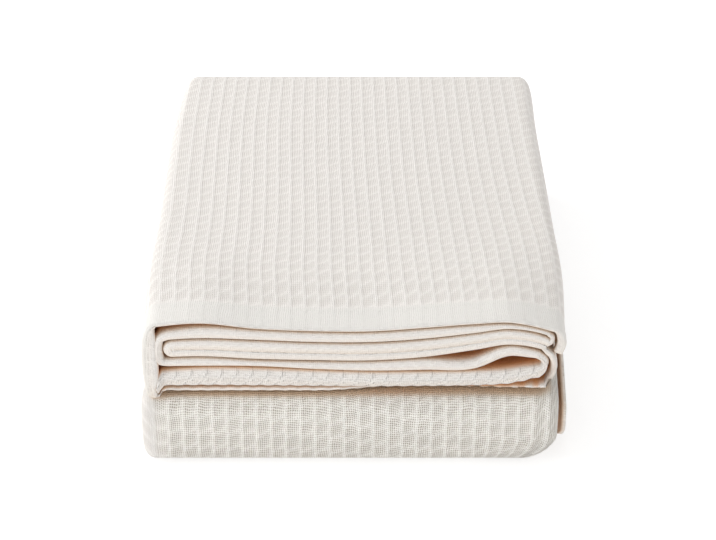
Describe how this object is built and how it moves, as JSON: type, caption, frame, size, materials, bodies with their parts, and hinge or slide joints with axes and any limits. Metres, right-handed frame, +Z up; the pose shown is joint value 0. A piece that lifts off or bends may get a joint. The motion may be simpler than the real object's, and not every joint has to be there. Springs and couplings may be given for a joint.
{
  "type": "folded waffle weave cotton blanket",
  "caption": "Waffle weave cotton blanket, one hemmed length of cloth folded into a flat rectangular stack with its layered hem ends at the front.",
  "frame": {"origin": "under the middle of the folded stack, on the surface that it lies on", "axes": "+Z up, out of the top of the stack; -Y towards the front, where the hem ends of the top strip show; +X towards the side with the open fold, to the right as seen from the front"},
  "size_m": [0.3215, 0.465, 0.1293],
  "materials": {
    "ivory_cotton": "matt lofty waffle weave, ivory"
  },
  "bodies": {
    "root": {"blanket": "ivory_cotton"}
  },
  "joints": []
}
